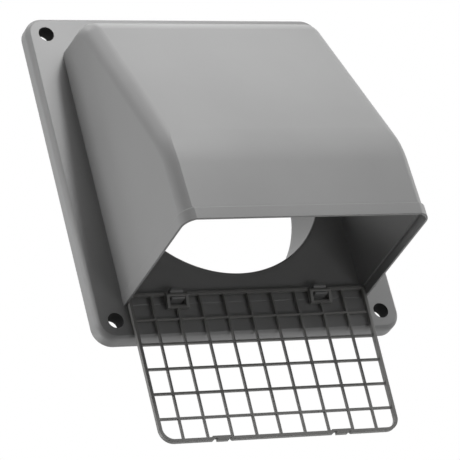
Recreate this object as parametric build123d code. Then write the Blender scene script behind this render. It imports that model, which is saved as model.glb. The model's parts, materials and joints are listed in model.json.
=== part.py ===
# Wall exhaust vent: a moulded hood on a base pan, with a drop-down bird guard at its mouth.
# Millimetres. The origin is on the duct's axis, in the plane of the wall.
# X runs to the right, Y into the wall and Z up, so the hood stands out towards -Y.
# A distance called "out" is measured from the wall towards -Y.

from build123d import *
from math import cos, radians, sin, tan
import os

# Duct collar
collar_d = 101.6            # outside, for a nominal 4 inch duct
collar_wall = 1.6
collar_reach = 22.0         # behind the wall's face
collar_lead = 0.8           # chamfer on the far end
collar_entry_r = 1.2        # rounding where air leaves the duct

# Base pan
base_w = 142.5
base_h = 156.6
base_depth = 7.6
base_wall = 1.8
base_corner_r = 8.3
base_edge_r = 3.8
base_crease = 0.75          # the front face cuts this deep into the edge rounding

# Wall screws
screw_dx = 125.0
screw_dz = 139.5
screw_hole_d = 6.9
boss_wall = 1.9

# Hood shell, outside sizes
hood_w = 114.3
hood_wall = 1.6
hood_draft = 1.1            # degrees, on each side wall and the top
hood_top_z = 63.5
hood_edge_r = 6.5
shoulder_r = 14.0
slope_angle = 26.6          # degrees from upright
bend_out = 75.2             # where the slope and the front face would meet
bend_z = -24.0
bend_r = 38.0
front_bend_r = 46.0         # of the front's own face, whose bend starts further up
front_angle = 3.1           # degrees from upright
front_crease = 0.45         # the front face cuts this deep into its side roundings

# Mouth and its lip
mouth_z = -63.1             # lower edge of the mouth at the base
mouth_tilt = 1.8            # degrees, rising outwards
lip_h = 5.5
lip_wall = 1.0
lip_draft = 0.5             # degrees, the sides closing in outwards
lip_proud = 1.2             # at the front
lip_side_proud = 0.15       # at the foot of the side walls
lip_edge_r = 0.35
rebate_h = 4.1              # seat for the guard inside the lip
floor_step = 0.2            # raised floor of the mouth

# Hinge clips on the base, and the axis they hold
pivot_out = 10.7
pivot_z = -60.65
pivot_d = 2.0
pivot_play = 0.06           # radial running clearance
clip_w = 5.9
clip_out = 12.1
clip_below = 2.05
clip_above = 2.5
clip_throat = 1.7
clip_mouth = 2.8
clip_tip_r = 0.4

# Guard
guard_pitch = 11.25
guard_gap = 0.25            # to the lip all round, when shut
guard_hang = 1.8            # degrees that it leans back towards the wall at rest
guard_back = 1.55           # bars' middle plane behind the pivot
hinge_bar_up = 1.05         # hinge bar above the pivot
hinge_bar_w = 1.3
frame_w = 1.4
frame_depth = 2.0
frame_corner_r = 6.2
frame_top_r = 2.0
bar_w_back = 1.05
bar_w_front = 0.8
bar_depth = 1.2
loop_pitches = 3            # the loops sit on the third bar from the middle
loop_w = 10.1
loop_drop = 5.9             # foot of the loop below the hinge bar
loop_bar = 1.3
loop_foot_depth = 1.8
loop_cheek = 1.35
tab_x = 27.7
tab_w = 5.1
tab_proud = 0.15            # so that it grips the lip
notch_w = 8.9
notch_slant = 1.3
spring_bar = 0.9
spring_inset = 0.75

# Sizes that follow from the ones above
floor_out = base_depth + floor_step
foot_out = base_depth - base_wall / 2           # where what stands on the base starts, inside its skin
collar_r = collar_d / 2
bore_r = collar_r - collar_wall
front_slope = tan(radians(front_angle))
lip_top_z = mouth_z + (bend_out - base_depth) * tan(radians(mouth_tilt)) + lip_h
lip_half = hood_w / 2 + lip_side_proud
lip_front = bend_out + (bend_z - lip_top_z) * front_slope + lip_proud
lip_reach = (lip_front - base_depth) / cos(radians(mouth_tilt))
lip_taper = tan(radians(lip_draft))
guard_half = lip_half - lip_wall - guard_gap
pivot_reach = (                                 # pivot from the base, along the mouth
    (pivot_out - base_depth) * cos(radians(mouth_tilt)) + (pivot_z - mouth_z) * sin(radians(mouth_tilt))
)
guard_far = lip_reach - lip_wall - guard_gap - pivot_reach
clip_x = loop_pitches * guard_pitch
pivot_r = pivot_d / 2
bars_back = guard_back + bar_depth / 2          # rear face of the guard behind the pivot

near = 0.01                                     # for finding edges by their place
mouth_up = (0, sin(radians(mouth_tilt)), cos(radians(mouth_tilt)))
mouth_plane = Plane(origin=(0, -base_depth, mouth_z), x_dir=(1, 0, 0), z_dir=mouth_up)
half_space = Box(4 * base_w, 4 * base_w, 4 * base_w, align=(Align.CENTER, Align.CENTER, Align.MIN))


def wall_plane(out):
    """A plane parallel to the wall, with its normal pointing away from it."""
    return Plane.XZ.offset(out)


def side_face(points, radii):
    """A face in the side view from (out, z) points, rounded where a radius is given."""
    outline = Polyline([(-out, z) for out, z in points], close=True)
    face = make_face(Plane.YZ * outline)
    for (out, z), radius in zip(points, radii):
        if radius:
            corner = face.vertices().sort_by_distance(Vector(0, -out, z))[0]
            face = fillet(corner, radius)
    return face


def crossing(a, along_a, b, along_b):
    """Where two lines in the side view meet, each given by a point and a direction."""
    det = along_a[0] * along_b[1] - along_a[1] * along_b[0]
    run = ((b[0] - a[0]) * along_b[1] - (b[1] - a[1]) * along_b[0]) / det
    return (a[0] + run * along_a[0], a[1] + run * along_a[1])


def narrowing(half, near_y, far_y):
    """A four-sided face that closes in downwards; its half width is given at y = 0."""
    near_half, far_half = half + near_y * lip_taper, half + far_y * lip_taper
    return make_face(Polyline(
        (-far_half, far_y), (far_half, far_y), (near_half, near_y), (-near_half, near_y), close=True,
    ))


# Hood form, at a given distance inside its outer skin

def side_profile(inset, start_out, proud, turn_r):
    slope, front, draft = radians(slope_angle), radians(front_angle), radians(hood_draft)
    down_slope, down_front = (sin(slope), -cos(slope)), (sin(front), -cos(front))
    out_top = (1, -tan(draft))
    on_slope = (bend_out - inset * cos(slope), bend_z - inset * sin(slope))
    on_front = (bend_out + (proud - inset) * cos(front), bend_z + (proud - inset) * sin(front))
    on_top = (base_depth, hood_top_z - inset)
    low = (start_out, mouth_z - lip_h)
    shoulder = crossing(on_top, out_top, on_slope, down_slope)
    corner = crossing(on_slope, down_slope, on_front, down_front)
    toe = crossing(on_front, down_front, low, (1, 0))
    top = crossing(on_top, out_top, low, (0, 1))
    return side_face(
        [low, top, shoulder, corner, toe],
        [0, 0, shoulder_r - inset, turn_r - inset, 0],
    )


def hood_form(inset, start_out):
    """Rounded along its side edges with the front left proud, then cut by the front's own face."""
    taper = tan(radians(hood_draft))
    half = hood_w / 2 - inset
    end_out = lip_front + lip_proud
    start_half = half - (start_out - base_depth) * taper
    end_half = half - (end_out - base_depth) * taper
    plan = make_face(Polyline(
        (start_half, -start_out), (end_half, -end_out),
        (-end_half, -end_out), (-start_half, -start_out), close=True,
    ))
    proud = extrude(side_profile(inset, start_out, front_crease, bend_r), hood_w, both=True)
    form = proud & extrude(plan, base_h, both=True)
    long_edges = [
        edge for edge in form.edges()
        if on_side_wall(edge, half) and abs(edge.center().Y + start_out) > near
        and edge.center().Z > mouth_z - lip_h + near
    ]
    form = fillet(long_edges, hood_edge_r - inset)
    return form & extrude(side_profile(inset, start_out, 0, front_bend_r), hood_w, both=True)


def on_side_wall(edge, half):
    middle = edge.position_at(0.5)
    wall_x = half - (-middle.Y - base_depth) * tan(radians(hood_draft))
    return abs(abs(middle.X) - wall_x) < near


def lip_block(inset, low, high, start_out):
    """The lip's outline between two heights above the mouth's plane."""
    length = lip_reach - inset
    outline = narrowing(lip_half - inset, base_depth - start_out, -length - front_crease)
    front_corners = outline.vertices().group_by(Axis.Y)[0]
    outline = fillet(front_corners, hood_edge_r + lip_proud - inset)
    outline -= Pos(0, -length) * Rectangle(base_w, base_w, align=(Align.CENTER, Align.MAX))
    return extrude(mouth_plane.offset(low) * outline, high - low)


def above_mouth(rise):
    return mouth_plane.offset(rise) * half_space


def in_front_of(out):
    return wall_plane(out) * half_space


def hood_outside():
    lip = lip_block(0, 0, lip_h, foot_out)
    rim = lip.faces().sort_by(Axis.Z)[-1].edges()
    rim = [edge for edge in rim if -edge.center().Y > base_depth]
    return (hood_form(0, foot_out) & above_mouth(0)) + fillet(rim, lip_edge_r)


def hood_inside():
    """The room in the hood with the wider seat for the guard below it, open downwards."""
    room = hood_form(hood_wall, floor_out) & above_mouth(rebate_h)
    seat = lip_block(lip_wall, -lip_h, rebate_h, 0) & in_front_of(floor_out)
    return room + seat


# Base pan with its screw bosses and the duct collar

def base_pan():
    outline = fillet(Rectangle(base_w, base_h).vertices(), base_corner_r)
    pan = extrude(wall_plane(0) * outline, base_depth + base_crease)
    front = pan.faces().sort_by(Axis.Y)[0]
    pan = fillet(front.edges(), base_edge_r) - in_front_of(base_depth)
    hollow = offset(outline, -base_wall)
    return pan - extrude(wall_plane(0) * hollow, base_depth - base_wall)


def at_screws(shape):
    return wall_plane(0) * (Sketch() + [place * shape for place in GridLocations(screw_dx, screw_dz, 2, 2)])


def bosses():
    return extrude(at_screws(Circle(screw_hole_d / 2 + boss_wall)), foot_out)


def screw_holes():
    return extrude(at_screws(Circle(screw_hole_d / 2)), base_depth)


def raised_floor():
    """The base's face inside the hood, a little higher than the margin round it."""
    inset = hood_wall / 2
    outline = Rectangle(
        hood_w - 2 * inset, hood_top_z - inset - mouth_z,
        align=(Align.CENTER, Align.MIN),
    )
    outline = Pos(0, mouth_z) * outline
    outline = fillet(outline.vertices().group_by(Axis.Y)[-1], hood_edge_r - inset)
    return extrude(wall_plane(foot_out) * outline, floor_out - foot_out)


def collar():
    tube = extrude(wall_plane(-collar_reach) * Circle(collar_r), collar_reach + foot_out)
    far_rim = tube.faces().sort_by(Axis.Y)[-1].edges()
    return chamfer(far_rim, collar_lead)


def bored(body):
    """Open the way for the air, rounded where it meets the floor of the hood."""
    body -= extrude(wall_plane(-collar_reach) * Circle(bore_r), collar_reach + floor_out)
    rounds = body.edges().filter_by(GeomType.CIRCLE)
    entry = rounds.filter_by(lambda edge: abs(edge.radius - bore_r) < near).sort_by(Axis.Y)[0]
    return fillet(entry, collar_entry_r)


# Clips that hold the guard's pivot bars, open away from the wall

def clip(x):
    low, high = pivot_z - clip_below, pivot_z + clip_above
    jaw = side_face(
        [(foot_out, low), (clip_out, low), (clip_out, high), (foot_out, high)],
        [0, clip_tip_r, clip_tip_r, 0],
    )
    seat_r = pivot_r + pivot_play
    neck_out = pivot_out + (seat_r ** 2 - (clip_throat / 2) ** 2) ** 0.5
    jaw -= Plane.YZ * Pos(-pivot_out, pivot_z) * Circle(seat_r)
    jaw -= side_face(
        [
            (pivot_out, pivot_z - clip_throat / 2), (neck_out, pivot_z - clip_throat / 2),
            (clip_out, pivot_z - clip_mouth / 2), (clip_out, pivot_z + clip_mouth / 2),
            (neck_out, pivot_z + clip_throat / 2), (pivot_out, pivot_z + clip_throat / 2),
        ],
        [0] * 6,
    )
    return Pos(x) * extrude(jaw, clip_w / 2, both=True)


def make_hood():
    body = base_pan() + bosses() + raised_floor() + hood_outside()
    body -= hood_inside()
    body = bored(body + collar()) - screw_holes()
    for side in (-1, 1):
        body += clip(side * clip_x)
    return body


# Guard, drawn hanging straight down from its pivot at the origin, its back towards the wall

def guard_frame():
    top = hinge_bar_up + hinge_bar_w / 2
    outside = narrowing(guard_half, top, -guard_far)
    outside = fillet(outside.vertices().group_by(Axis.Y)[0], frame_corner_r)
    outside = fillet(outside.vertices().group_by(Axis.Y)[-1], frame_top_r)
    inside = narrowing(guard_half - frame_w, top - hinge_bar_w, frame_w - guard_far)
    inside = fillet(inside.vertices().group_by(Axis.Y)[0], frame_corner_r - frame_w)
    ring = outside - inside
    for side in (-1, 1):
        ring -= Pos(side * clip_x, hinge_bar_up) * Rectangle(loop_w - loop_cheek, 2 * hinge_bar_w)
        ring = with_spring_tab(ring, side * tab_x)
    return extrude(wall_plane(-bars_back) * ring, frame_depth)


def with_spring_tab(ring, x):
    """Notch the far edge and bridge the notch with a thin bar that carries a tab."""
    edge = Pos(x, -guard_far)
    deep = frame_w + near
    narrow = notch_w / 2 - deep * notch_slant / frame_w
    ring -= edge * make_face(Polyline(
        (-notch_w / 2, 0), (notch_w / 2, 0), (narrow, deep), (-narrow, deep), close=True,
    ))
    bar_middle = frame_w / 2 + spring_inset
    ring += edge * Pos(0, bar_middle) * Rectangle(notch_w, spring_bar)
    tab_h = bar_middle + tab_proud
    return ring + edge * Pos(0, -tab_proud) * Rectangle(tab_w, tab_h, align=(Align.CENTER, Align.MIN))


def bar_section():
    """A bar's section across its run: wide at the guard's back, narrow in front."""
    back, front = bars_back, bars_back - bar_depth
    return make_face(Polyline(
        (-bar_w_back / 2, back), (bar_w_back / 2, back),
        (bar_w_front / 2, front), (-bar_w_front / 2, front), close=True,
    ))


def upright_bars():
    count = int((guard_half - frame_w) / guard_pitch)
    foot = frame_w / 2 - guard_far
    bars = []
    for column in range(-count, count + 1):
        top = hinge_bar_up - (loop_drop if abs(column) == loop_pitches else 0)
        section = Pos(column * guard_pitch, 0, foot) * bar_section()
        bars.append(extrude(section, top - foot))
    return bars


def cross_bars():
    count = int((guard_far + hinge_bar_up) / guard_pitch)
    bars = []
    for row in range(1, count + 1):
        height = hinge_bar_up - row * guard_pitch
        along = Plane(origin=(0, 0, height), x_dir=(0, 0, 1), z_dir=(-1, 0, 0))
        span = guard_half - frame_w / 2 + height * lip_taper
        bars.append(extrude(along * bar_section(), span, both=True))
    return bars


def loop(x):
    """Two cheeks joined by the round pivot bar that snaps into a clip and by a foot bar."""
    foot_z = hinge_bar_up - loop_drop
    low, high = foot_z - loop_bar / 2, hinge_bar_up + hinge_bar_w / 2
    foot_front = loop_foot_depth - bars_back
    rear = side_face(
        [(-bars_back, low), (foot_front, low), (foot_front, high), (-bars_back, high)], [0] * 4,
    )
    pin = Plane.YZ * Circle(pivot_r)
    outline = make_hull(Plane.YZ.to_local_coords(rear + pin).edges())
    cheek = extrude(Plane.YZ * outline, loop_cheek / 2, both=True)
    foot = side_face(
        [
            (-bars_back, low), (foot_front, low),
            (foot_front, low + loop_bar), (-bars_back, low + loop_bar),
        ],
        [0] * 4,
    )
    span = (loop_w - loop_cheek) / 2
    rungs = extrude(foot, span, both=True) + extrude(pin, span, both=True)
    return Pos(x) * (rungs + Pos(span) * cheek + Pos(-span) * cheek)


def make_guard():
    body = guard_frame() + upright_bars() + cross_bars()
    for side in (-1, 1):
        body += loop(side * clip_x)
    return Pos(0, -pivot_out, pivot_z) * Rot(guard_hang, 0, 0) * body


os.makedirs("parts", exist_ok=True)
export_step(make_hood(), "parts/hood.step")
export_step(make_guard(), "parts/guard.step")
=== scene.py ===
# Wall exhaust vent with its bird guard hanging open.
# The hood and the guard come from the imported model. This script gives them
# their moulded finish, and adds the camera, the floor, the lamps and the surround.

import json

import bpy
from mathutils import Matrix, Vector

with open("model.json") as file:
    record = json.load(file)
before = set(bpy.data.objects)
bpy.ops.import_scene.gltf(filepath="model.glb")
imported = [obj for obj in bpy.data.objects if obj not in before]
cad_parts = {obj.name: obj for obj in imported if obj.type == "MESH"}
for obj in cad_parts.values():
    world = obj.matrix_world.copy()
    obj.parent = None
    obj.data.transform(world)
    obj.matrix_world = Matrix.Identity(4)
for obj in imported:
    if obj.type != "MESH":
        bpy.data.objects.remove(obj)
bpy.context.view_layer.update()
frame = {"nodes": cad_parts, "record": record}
print("model loaded:", ", ".join(sorted(frame["nodes"])))


# The camera stands to the left, in front of and below the vent, with a long
# lens. right, up and towards are its own axes in the model's frame.
cameraLook = {
    "place": (-0.6159, -1.1161, -0.6244),
    "right": (0.89773, -0.37556, -0.23031),
    "up": (0.02251, -0.483, 0.87533),
    "towards": (-0.43998, -0.79099, -0.42514),
    "lens": 256.3,       # millimetres, as is the sensor
    "sensor": 36.0,
    "nearest": 0.05,     # metres, as is the farthest
    "farthest": 50.0,
}


def addCamera(look):
    data = bpy.data.cameras.new("photoCamera")
    data.sensor_fit = "HORIZONTAL"
    data.sensor_width = look["sensor"]
    data.lens = look["lens"]
    data.clip_start = look["nearest"]
    data.clip_end = look["farthest"]
    camera = bpy.data.objects.new("photoCamera", data)
    bpy.context.scene.collection.objects.link(camera)
    axes = Matrix((look["right"], look["up"], look["towards"])).transposed()
    turn = axes.to_quaternion().to_matrix().to_4x4()
    camera.matrix_world = Matrix.Translation(look["place"]) @ turn
    bpy.context.scene.camera = camera


addCamera(cameraLook)
print("camera set")


# Moulded plastic: an even colour with a faint cloudiness, a fine grain and a
# sheen that varies a little. Scales are on object coordinates, in metres.
hoodFinish = {
    "name": "hoodPlastic",
    "dark": (0.300, 0.300, 0.300),
    "light": (0.322, 0.322, 0.322),
    "cloudScale": 22.0,
    "grainScale": 2600.0,
    "grainDepth": 0.00002,
    "grainStrength": 0.25,
    "roughLow": 0.38,
    "roughHigh": 0.46,
    "specular": 0.4,
    "edgeRound": 0.0004,     # radius that catches the light along its edges
}
guardFinish = {
    "name": "guardPlastic",
    "dark": (0.255, 0.253, 0.246),
    "light": (0.283, 0.281, 0.273),
    "cloudScale": 40.0,
    "grainScale": 3000.0,
    "grainDepth": 0.00002,
    "grainStrength": 0.2,
    "roughLow": 0.38,
    "roughHigh": 0.46,
    "specular": 0.4,
    "edgeRound": 0.0003,
}
moulding = {                 # the same for both pieces
    "cloudDetail": 4.0,
    "cloudLow": 0.3,         # noise values that give the dark and the light tone
    "cloudHigh": 0.7,
    "grainDetail": 2.0,
    "edgeSamples": 6,
}


def makePlastic(look):
    material = bpy.data.materials.new(look["name"])
    material.use_nodes = True
    nodes, links = material.node_tree.nodes, material.node_tree.links
    shader = nodes["Principled BSDF"]
    shader.inputs["Specular IOR Level"].default_value = look["specular"]
    where = nodes.new("ShaderNodeTexCoord")

    cloud = nodes.new("ShaderNodeTexNoise")
    cloud.inputs["Scale"].default_value = look["cloudScale"]
    cloud.inputs["Detail"].default_value = moulding["cloudDetail"]
    links.new(where.outputs["Object"], cloud.inputs["Vector"])

    tint = nodes.new("ShaderNodeValToRGB")
    darkEnd, lightEnd = tint.color_ramp.elements
    darkEnd.position = moulding["cloudLow"]
    darkEnd.color = (*look["dark"], 1.0)
    lightEnd.position = moulding["cloudHigh"]
    lightEnd.color = (*look["light"], 1.0)
    links.new(cloud.outputs["Fac"], tint.inputs["Fac"])
    links.new(tint.outputs["Color"], shader.inputs["Base Color"])

    sheen = nodes.new("ShaderNodeMapRange")
    sheen.inputs["From Min"].default_value = moulding["cloudLow"]
    sheen.inputs["From Max"].default_value = moulding["cloudHigh"]
    sheen.inputs["To Min"].default_value = look["roughLow"]
    sheen.inputs["To Max"].default_value = look["roughHigh"]
    links.new(cloud.outputs["Fac"], sheen.inputs["Value"])
    links.new(sheen.outputs["Result"], shader.inputs["Roughness"])

    grain = nodes.new("ShaderNodeTexNoise")
    grain.inputs["Scale"].default_value = look["grainScale"]
    grain.inputs["Detail"].default_value = moulding["grainDetail"]
    links.new(where.outputs["Object"], grain.inputs["Vector"])
    bump = nodes.new("ShaderNodeBump")
    bump.inputs["Strength"].default_value = look["grainStrength"]
    bump.inputs["Distance"].default_value = look["grainDepth"]
    links.new(grain.outputs["Fac"], bump.inputs["Height"])

    edge = nodes.new("ShaderNodeBevel")
    edge.samples = moulding["edgeSamples"]
    edge.inputs["Radius"].default_value = look["edgeRound"]
    links.new(edge.outputs["Normal"], bump.inputs["Normal"])
    links.new(bump.outputs["Normal"], shader.inputs["Normal"])
    return material


# The screw holes are as deep as the base and read nearly black, so painted shade
# gives their walls a near-black colour, and they are made duller than the rest of the
# hood.
paintedHoleShade = {
    # near-black colour of the painted shade on the hole walls
    "dark": (0.02, 0.02, 0.02),
    "beyondWall": 0.00005,   # metres past the hole's wall
}
millimetre = 0.001


def paintHoleShade(material, look):
    mounts = frame["record"]["mounts"]
    screws = next(row["dims"] for row in mounts if row["name"] == "wall_screws")
    across = screws["spacing_x_mm"] * millimetre / 2
    up = screws["spacing_y_mm"] * millimetre / 2
    radius = screws["hole_r_mm"] * millimetre + look["beyondWall"]
    nodes, links = material.node_tree.nodes, material.node_tree.links
    shader = nodes["Principled BSDF"]
    where = nodes.new("ShaderNodeTexCoord")

    def step(operation, before, values=None):
        node = nodes.new("ShaderNodeVectorMath")
        node.operation = operation
        links.new(before, node.inputs[0])
        if values:
            node.inputs[1].default_value = values
        return node.outputs["Value" if operation == "LENGTH" else "Vector"]

    # The four corners fold onto one, and the distance is taken across its axis.
    folded = step("ABSOLUTE", where.outputs["Object"])
    fromAxis = step("SUBTRACT", folded, (across, 0.0, up))
    distance = step("LENGTH", step("MULTIPLY", fromAxis, (1.0, 0.0, 1.0)))
    inHole = nodes.new("ShaderNodeMath")
    inHole.operation = "LESS_THAN"
    inHole.inputs[1].default_value = radius
    links.new(distance, inHole.inputs[0])

    # Inside the holes the painted shade replaces the plastic's colour.
    plain = shader.inputs["Base Color"].links[0].from_socket
    blend = nodes.new("ShaderNodeMix")
    blend.data_type = "RGBA"
    plainTone, shadeTone = [socket for socket in blend.inputs if socket.type == "RGBA"]
    shadeTone.default_value = (*look["dark"], 1.0)
    links.new(inHole.outputs["Value"], blend.inputs[0])
    links.new(plain, plainTone)
    mixed = next(socket for socket in blend.outputs if socket.type == "RGBA")
    links.new(mixed, shader.inputs["Base Color"])

    sheen = shader.inputs["Roughness"].links[0].from_socket
    dull = nodes.new("ShaderNodeMath")
    dull.operation = "MAXIMUM"
    links.new(sheen, dull.inputs[0])
    links.new(inHole.outputs["Value"], dull.inputs[1])
    links.new(dull.outputs["Value"], shader.inputs["Roughness"])


def dress(node, material):
    slots = frame["nodes"][node].data.materials
    slots.clear()
    slots.append(material)


hoodPlastic = makePlastic(hoodFinish)
paintHoleShade(hoodPlastic, paintedHoleShade)
dress("hood", hoodPlastic)
dress("guard", makePlastic(guardFinish))
print("finishes given to the hood and the guard")


# The studio is a pale floor well below the vent, soft lamps round it and a
# white surround that gives almost no light of its own.
floorLook = {
    "height": -2.2,
    "size": 16.0,
    "colour": (0.80, 0.80, 0.80),
    "roughness": 0.9,
    "seen": (0.70, 0.70, 0.70),   # added where it is seen, so that it reads pale
}
lampAim = (0.0, -0.03, -0.01)
lamps = {
    "key": {"place": (0.105, -0.627, 0.34), "size": 0.08, "power": 1.66},
    "keyNear": {"place": (0.0, -0.20, 0.17), "size": 0.10, "power": 0.271},
    "keyNearRight": {"place": (0.12, -0.20, 0.17), "size": 0.10, "power": 0.032},
    "topRight": {"place": (0.184, 0.076, 0.573), "size": 0.25, "power": 0.246},
    "topLeft": {"place": (-0.184, 0.076, 0.573), "size": 0.25, "power": 0.428},
    "fillLow": {"place": (0.219, -0.41, -0.448), "size": 0.25, "power": 0.34},
    "sideLeft": {"place": (-0.60, -0.03, 0.15), "size": 0.25, "power": 0.333},
    "sideNear": {"place": (-0.35, -0.02, 0.0), "size": 0.12, "power": 0.158},
    "edgeLeft": {"place": (-0.20, 0.05, 0.0), "size": 0.12, "power": 0.06},
    "edgeFar": {"place": (-0.52, 0.27, -0.17), "size": 0.25, "power": 0.407},
    "backLeft": {"place": (-0.30, 0.49, -0.17), "size": 0.25, "power": 0.453},
    "backBelow": {"place": (0.15, 0.15, -0.60), "size": 0.40, "power": 0.72},
    "sideRight": {"place": (0.70, -0.15, 0.10), "size": 0.40, "power": 0.95},
    "back": {"place": (0.20, 0.90, 0.15), "size": 0.60, "power": 1.8},
}
surround = {
    "seen": (1.0, 1.0, 1.0),
    "light": (0.02, 0.02, 0.02),
}


# One for rays that see a thing straight, in a reflection or through a gap.
def seenRays(nodes, links):
    ray = nodes.new("ShaderNodeLightPath")
    rays = ray.outputs["Is Camera Ray"]
    for kind in ("Is Glossy Ray", "Is Transmission Ray"):
        either = nodes.new("ShaderNodeMath")
        either.operation = "MAXIMUM"
        links.new(rays, either.inputs[0])
        links.new(ray.outputs[kind], either.inputs[1])
        rays = either.outputs["Value"]
    return rays


def addFloor(look):
    bpy.ops.object.select_all(action="DESELECT")
    place = (0.0, 0.0, look["height"])
    bpy.ops.mesh.primitive_plane_add(size=look["size"], location=place)
    floor = bpy.context.object
    floor.name = "floor"
    bpy.ops.object.transform_apply(location=True, rotation=True, scale=True)
    material = bpy.data.materials.new("floorPaint")
    material.use_nodes = True
    material.cycles.emission_sampling = "NONE"
    nodes, links = material.node_tree.nodes, material.node_tree.links
    paint = nodes["Principled BSDF"]
    paint.inputs["Base Color"].default_value = (*look["colour"], 1.0)
    paint.inputs["Roughness"].default_value = look["roughness"]
    glow = nodes.new("ShaderNodeEmission")
    glow.inputs["Color"].default_value = (*look["seen"], 1.0)
    pale = nodes.new("ShaderNodeAddShader")
    links.new(paint.outputs["BSDF"], pale.inputs[0])
    links.new(glow.outputs["Emission"], pale.inputs[1])
    blend = nodes.new("ShaderNodeMixShader")
    links.new(seenRays(nodes, links), blend.inputs["Fac"])
    links.new(paint.outputs["BSDF"], blend.inputs[1])
    links.new(pale.outputs["Shader"], blend.inputs[2])
    links.new(blend.outputs["Shader"], nodes["Material Output"].inputs["Surface"])
    floor.data.materials.append(material)


def addLamp(name, look):
    data = bpy.data.lights.new(name, "AREA")
    data.shape = "DISK"
    data.size = look["size"]
    data.energy = look["power"]
    lamp = bpy.data.objects.new(name, data)
    lamp.visible_camera = False
    bpy.context.scene.collection.objects.link(lamp)
    lamp.location = look["place"]
    beam = Vector(lampAim) - Vector(look["place"])
    lamp.rotation_euler = beam.to_track_quat("-Z", "Y").to_euler()


def setSurround(look):
    world = bpy.data.worlds.new("studio")
    bpy.context.scene.world = world
    world.use_nodes = True
    nodes, links = world.node_tree.nodes, world.node_tree.links
    nodes.clear()
    light = nodes.new("ShaderNodeBackground")
    light.inputs["Color"].default_value = (*look["light"], 1.0)
    seen = nodes.new("ShaderNodeBackground")
    seen.inputs["Color"].default_value = (*look["seen"], 1.0)
    blend = nodes.new("ShaderNodeMixShader")
    links.new(seenRays(nodes, links), blend.inputs["Fac"])
    links.new(light.outputs["Background"], blend.inputs[1])
    links.new(seen.outputs["Background"], blend.inputs[2])
    out = nodes.new("ShaderNodeOutputWorld")
    links.new(blend.outputs["Shader"], out.inputs["Surface"])


addFloor(floorLook)
for lampName, lampLook in lamps.items():
    addLamp(lampName, lampLook)
setSurround(surround)
bpy.context.scene.view_settings.view_transform = "Standard"
print("studio lit")
